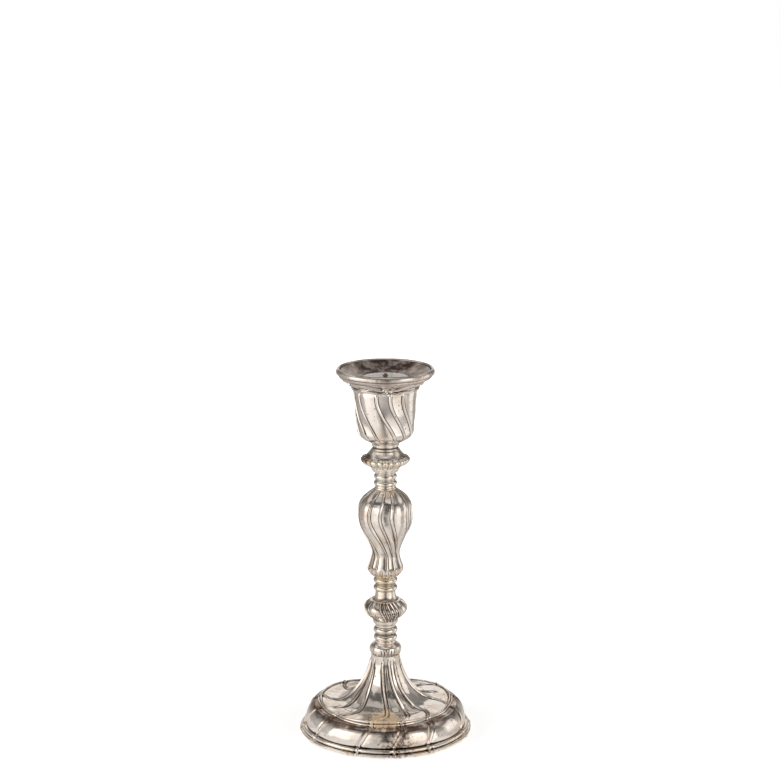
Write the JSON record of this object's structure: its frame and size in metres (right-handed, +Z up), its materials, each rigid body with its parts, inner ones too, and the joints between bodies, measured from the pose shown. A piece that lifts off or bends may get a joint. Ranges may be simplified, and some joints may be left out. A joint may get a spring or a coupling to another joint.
{
  "type": "candlestick",
  "caption": "Silver-plated table candlestick with a round ribbed foot, ringed baluster stem, swirl-fluted cup and a lift-out nozzle with drip pan.",
  "frame": {"origin": "middle of the felt's underside, on the axis of the stick", "axes": "+Z up along the stem; -Y towards the viewer of the reference picture, +X to their right"},
  "size_m": [0.0832, 0.0832, 0.18],
  "materials": {
    "silver_plate": "worn silver plate over cast brass, tarnished in the creases",
    "tarnished_plate": "darker, tarnished silver plate over brass",
    "steel": "plain turned steel",
    "sheet_steel": "pressed sheet, dull",
    "plaster": "cast plaster weighting",
    "felt": "pressed wool felt"
  },
  "bodies": {
    "stick": {"base_shell": "silver_plate", "base_filling": "plaster", "base_plate": "sheet_steel", "felt_pad": "felt", "tie_rod": "steel", "foot_nut": "steel", "lock_washer": "steel", "foot_washer": "steel", "stem_collar": "silver_plate", "lower_spool": "silver_plate", "lower_knop": "silver_plate", "middle_spool": "silver_plate", "baluster": "silver_plate", "upper_spool": "silver_plate", "upper_knop": "silver_plate", "cup_neck": "silver_plate", "socket_cup": "silver_plate", "cup_border": "silver_plate", "cup_washer": "steel", "cup_nut": "steel"},
    "nozzle": {"nozzle_pan": "tarnished_plate", "nozzle_tube": "tarnished_plate"}
  },
  "joints": [
    {"name": "nozzle_lift", "type": "slide", "parent": "stick", "child": "nozzle", "axis": [0, 0, 1], "range_m": [0, 0.03]}
  ]
}
